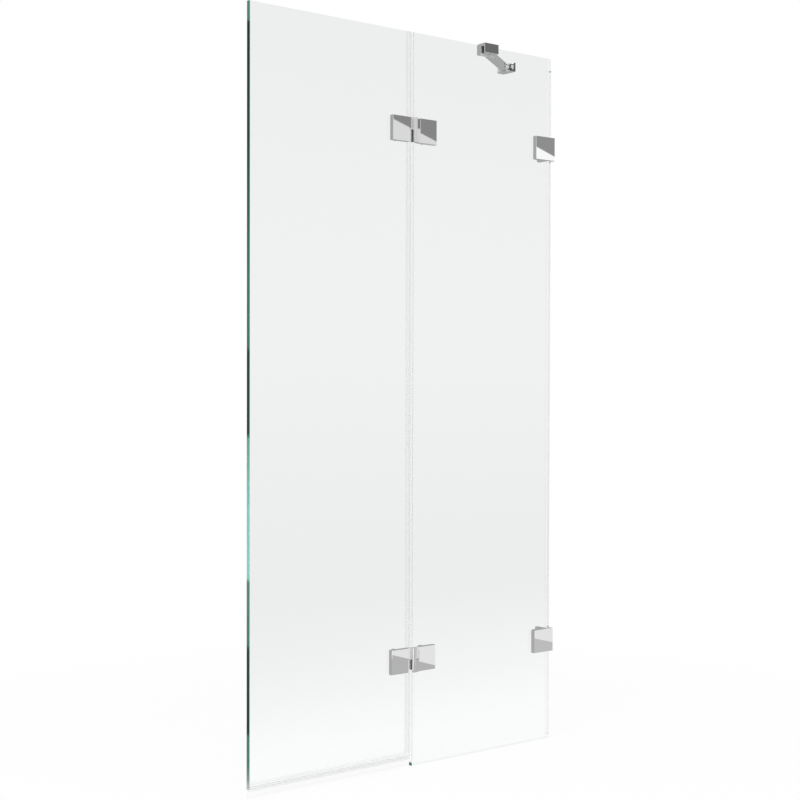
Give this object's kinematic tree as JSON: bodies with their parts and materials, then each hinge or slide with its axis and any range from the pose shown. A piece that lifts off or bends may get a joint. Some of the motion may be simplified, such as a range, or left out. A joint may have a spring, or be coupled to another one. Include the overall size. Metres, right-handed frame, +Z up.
{
  "type": "shower screen",
  "caption": "Frameless shower screen: clear glass door hinged on a fixed clear glass panel, with chrome hinges, wall brackets, a top brace to the wall and clear seals.",
  "frame": {"origin": "centre of the fixed glass panel's bottom face, where it stands on the tray", "axes": "+X along the glass toward the wall, +Y from the dry side to the wet side, +Z up"},
  "size_m": [1.049, 0.2303, 2.0165],
  "materials": {
    "clear_glass": "clear toughened float glass with polished green edges",
    "chrome": "polished chrome plate",
    "steel": "stainless steel",
    "clear_seal": "clear extruded vinyl",
    "gasket": "pale grey soft gasket",
    "pad": "black rubber pad",
    "nylon": "natural nylon"
  },
  "bodies": {
    "screen": {"brace_arm": "chrome", "brace_arm_screws": "steel", "brace_clamp": "chrome", "brace_clamp_pads": "pad", "brace_clevis_pin": "steel", "brace_set_screws": "steel", "brace_wall_clevis": "chrome", "fixed_glass": "clear_glass", "fixed_side_seal_lower": "clear_seal", "fixed_side_seal_middle": "clear_seal", "fixed_side_seal_upper": "clear_seal", "lower_bracket_front_plate": "chrome", "lower_bracket_gaskets": "gasket", "lower_bracket_screws": "steel", "lower_bracket_sleeves": "nylon", "lower_bracket_wall_angle": "chrome", "lower_hinge_fixed_discs": "chrome", "lower_hinge_fixed_gaskets": "gasket", "lower_hinge_fixed_leaf": "chrome", "lower_hinge_fixed_screws": "steel", "lower_hinge_fixed_sleeves": "nylon", "lower_hinge_pin": "steel", "lower_hinge_washer": "nylon", "upper_bracket_front_plate": "chrome", "upper_bracket_gaskets": "gasket", "upper_bracket_screws": "steel", "upper_bracket_sleeves": "nylon", "upper_bracket_wall_angle": "chrome", "upper_hinge_fixed_discs": "chrome", "upper_hinge_fixed_gaskets": "gasket", "upper_hinge_fixed_leaf": "chrome", "upper_hinge_fixed_screws": "steel", "upper_hinge_fixed_sleeves": "nylon", "upper_hinge_pin": "steel", "upper_hinge_washer": "nylon", "wall_seal_lower": "clear_seal", "wall_seal_middle": "clear_seal", "wall_seal_upper": "clear_seal"},
    "door": {"door_bottom_seal": "clear_seal", "door_glass": "clear_glass", "door_side_seal_lower": "clear_seal", "door_side_seal_middle": "clear_seal", "door_side_seal_upper": "clear_seal", "lower_hinge_bush": "nylon", "lower_hinge_door_discs": "chrome", "lower_hinge_door_gaskets": "gasket", "lower_hinge_door_leaf": "chrome", "lower_hinge_door_screws": "steel", "lower_hinge_door_sleeves": "nylon", "upper_hinge_bush": "nylon", "upper_hinge_door_discs": "chrome", "upper_hinge_door_gaskets": "gasket", "upper_hinge_door_leaf": "chrome", "upper_hinge_door_screws": "steel", "upper_hinge_door_sleeves": "nylon"}
  },
  "joints": [
    {"name": "door_swing", "type": "hinge", "parent": "screen", "child": "door", "pos_m": [-0.264, -0.0211, 1], "axis": [0, 0, 1], "range_deg": [0, 110]}
  ]
}
